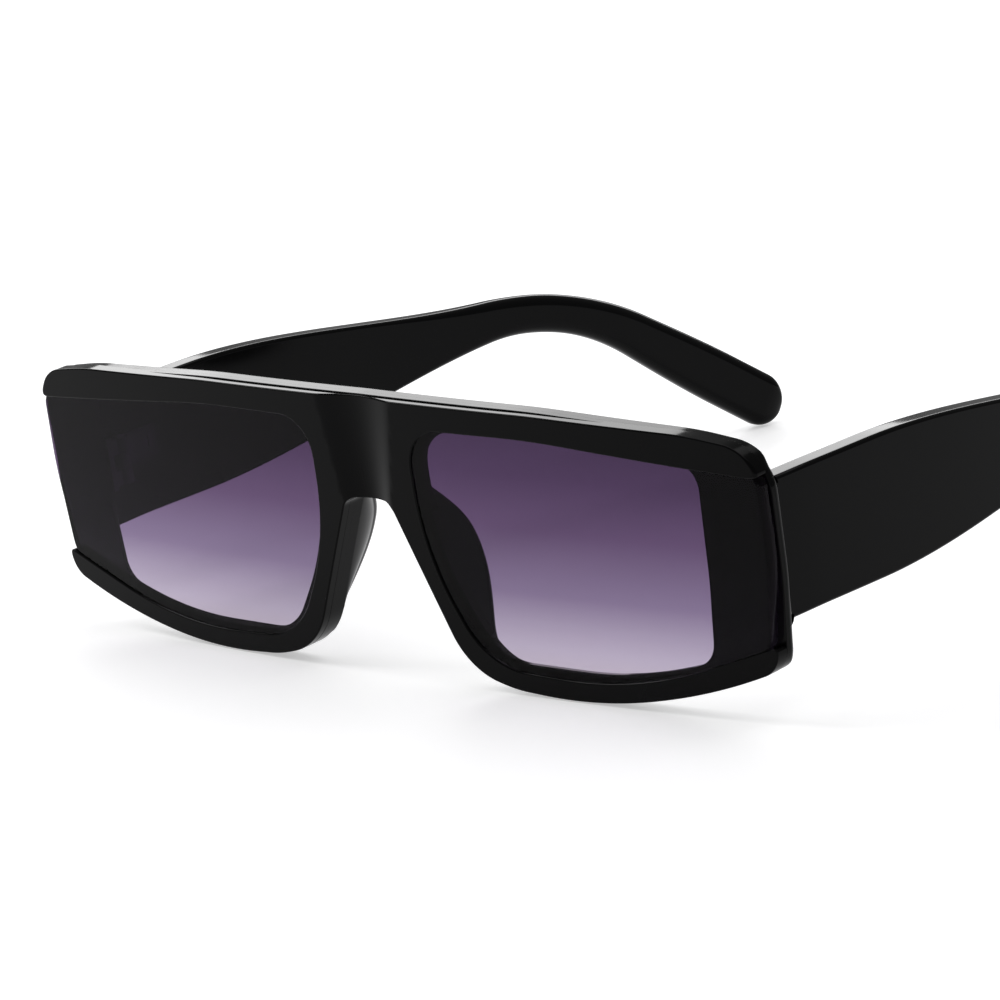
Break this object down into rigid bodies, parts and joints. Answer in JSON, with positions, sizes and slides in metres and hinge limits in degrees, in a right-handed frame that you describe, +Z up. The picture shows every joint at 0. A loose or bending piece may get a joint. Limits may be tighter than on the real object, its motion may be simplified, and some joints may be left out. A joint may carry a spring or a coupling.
{
  "type": "sunglasses",
  "caption": "Flat-top rectangular sunglasses with gradient tinted lenses that are open at the outer edge, moulded nose pads and folding temples.",
  "frame": {"origin": "below the middle of the whole, on the surface that the lower rims and the temple tips stand on", "axes": "+Z up, -Y the way the front faces, +Y along the temples to their tips, +X to the wearer's left"},
  "size_m": [0.1474, 0.1568, 0.0432],
  "materials": {
    "frame_black": "polished black",
    "temple_black": "polished black",
    "pad_black": "satin black",
    "lens_tint": "clear, dark violet at the top fading to pale lilac at the bottom",
    "hinge_steel": "satin",
    "screw_steel": "bright"
  },
  "bodies": {
    "front": {"front_frame": "frame_black", "lens_left": "lens_tint", "lens_right": "lens_tint", "nose_pad_left": "pad_black", "nose_pad_right": "pad_black", "front_hinge_left": "hinge_steel", "front_hinge_right": "hinge_steel", "hinge_screw_left": "screw_steel", "hinge_screw_right": "screw_steel", "front_hinge_screws_left": "screw_steel", "front_hinge_screws_right": "screw_steel"},
    "temple_left": {"temple_left": "temple_black", "temple_hinge_left": "hinge_steel", "temple_hinge_screws_left": "screw_steel"},
    "temple_right": {"temple_right": "temple_black", "temple_hinge_right": "hinge_steel", "temple_hinge_screws_right": "screw_steel"}
  },
  "joints": [
    {"name": "temple_left_fold", "type": "hinge", "parent": "front", "child": "temple_left", "pos_m": [0.0643, -0.06589, 0.02502], "axis": [0, -0.0819, 0.9966], "range_deg": [0, 88]},
    {"name": "temple_right_fold", "type": "hinge", "parent": "front", "child": "temple_right", "pos_m": [-0.0643, -0.06589, 0.02502], "axis": [0, 0.0819, -0.9966], "range_deg": [0, 80]}
  ]
}
